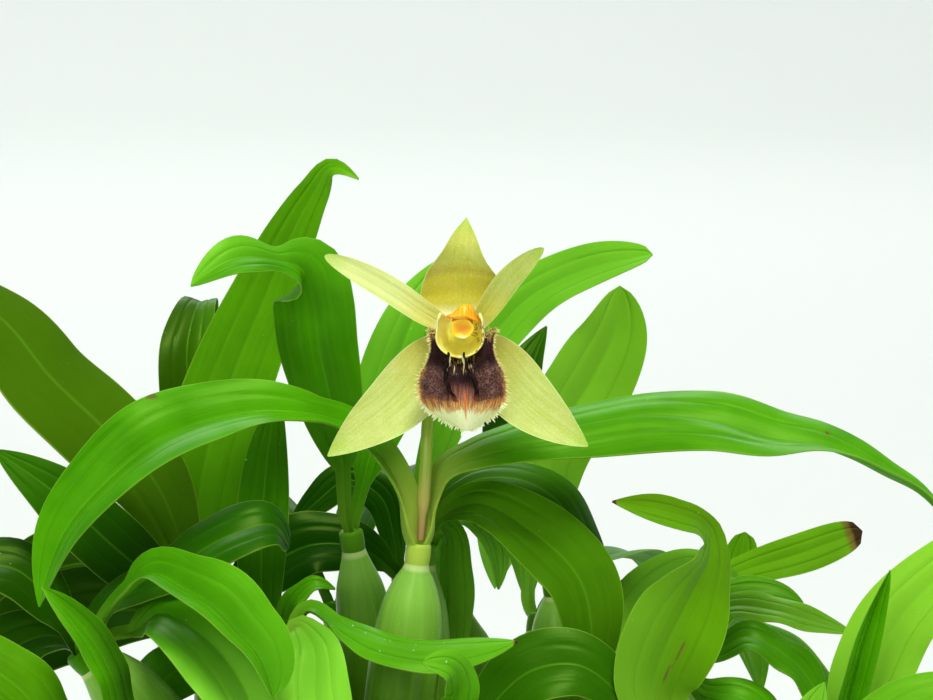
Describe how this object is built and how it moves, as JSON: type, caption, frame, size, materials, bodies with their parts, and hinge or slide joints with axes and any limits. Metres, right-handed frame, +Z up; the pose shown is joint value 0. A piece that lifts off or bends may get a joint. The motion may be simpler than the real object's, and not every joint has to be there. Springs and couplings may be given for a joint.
{
  "type": "potted coelogyne orchid",
  "caption": "Clump of coelogyne orchid in a plain glazed vase: egg-shaped pseudobulbs, paired lance leaves and an open flower with a dark fringed lip.",
  "frame": {"origin": "centre of the vase's flat underside", "axes": "+Z up, the flower faces -Y, +X to the viewer's right"},
  "size_m": [0.2071, 0.1732, 0.2437],
  "materials": {
    "glaze": "smooth white glaze",
    "bark": "rough bark growing medium",
    "bulb": "smooth waxy green",
    "leaf": "glossy leaf",
    "stalk": "smooth green stalk",
    "tepal": "soft waxy petal",
    "lip": "velvety fringed lip",
    "column": "waxy"
  },
  "bodies": {
    "root": {"vase": "glaze", "medium": "bark", "bulb_01": "bulb", "bulb_02": "bulb", "bulb_03": "bulb", "bulb_04": "bulb", "bulb_05": "bulb", "bulb_06": "bulb", "bulb_07": "bulb", "bulb_08": "bulb", "bulb_09": "bulb", "bulb_10": "bulb", "bulb_11": "bulb", "bulb_12": "bulb", "bulb_13": "bulb", "bulb_14": "bulb", "bulb_15": "bulb", "bulb_16": "bulb", "bulb_17": "bulb", "bulb_18": "bulb", "bulb_19": "bulb", "bulb_20": "bulb", "bulb_21": "bulb", "bulb_22": "bulb", "bulb_23": "bulb", "bulb_24": "bulb", "leaves_01": "leaf", "leaves_02": "leaf", "leaves_03": "leaf", "leaves_04": "leaf", "leaves_05": "leaf", "leaves_06": "leaf", "leaves_07": "leaf", "leaves_08": "leaf", "leaves_09": "leaf", "leaves_10": "leaf", "leaves_11": "leaf", "leaves_12": "leaf", "leaves_13": "leaf", "leaves_14": "leaf", "leaves_15": "leaf", "leaves_16": "leaf", "leaves_17": "leaf", "leaves_18": "leaf", "leaves_19": "leaf", "leaves_20": "leaf", "leaves_21": "leaf", "leaves_22": "leaf", "leaves_23": "leaf", "leaves_24": "leaf", "flower_stalk": "stalk", "sepal_dorsal": "tepal", "sepal_left": "tepal", "sepal_right": "tepal", "petal_left": "tepal", "petal_right": "tepal", "lip": "lip", "column": "column"}
  },
  "joints": []
}
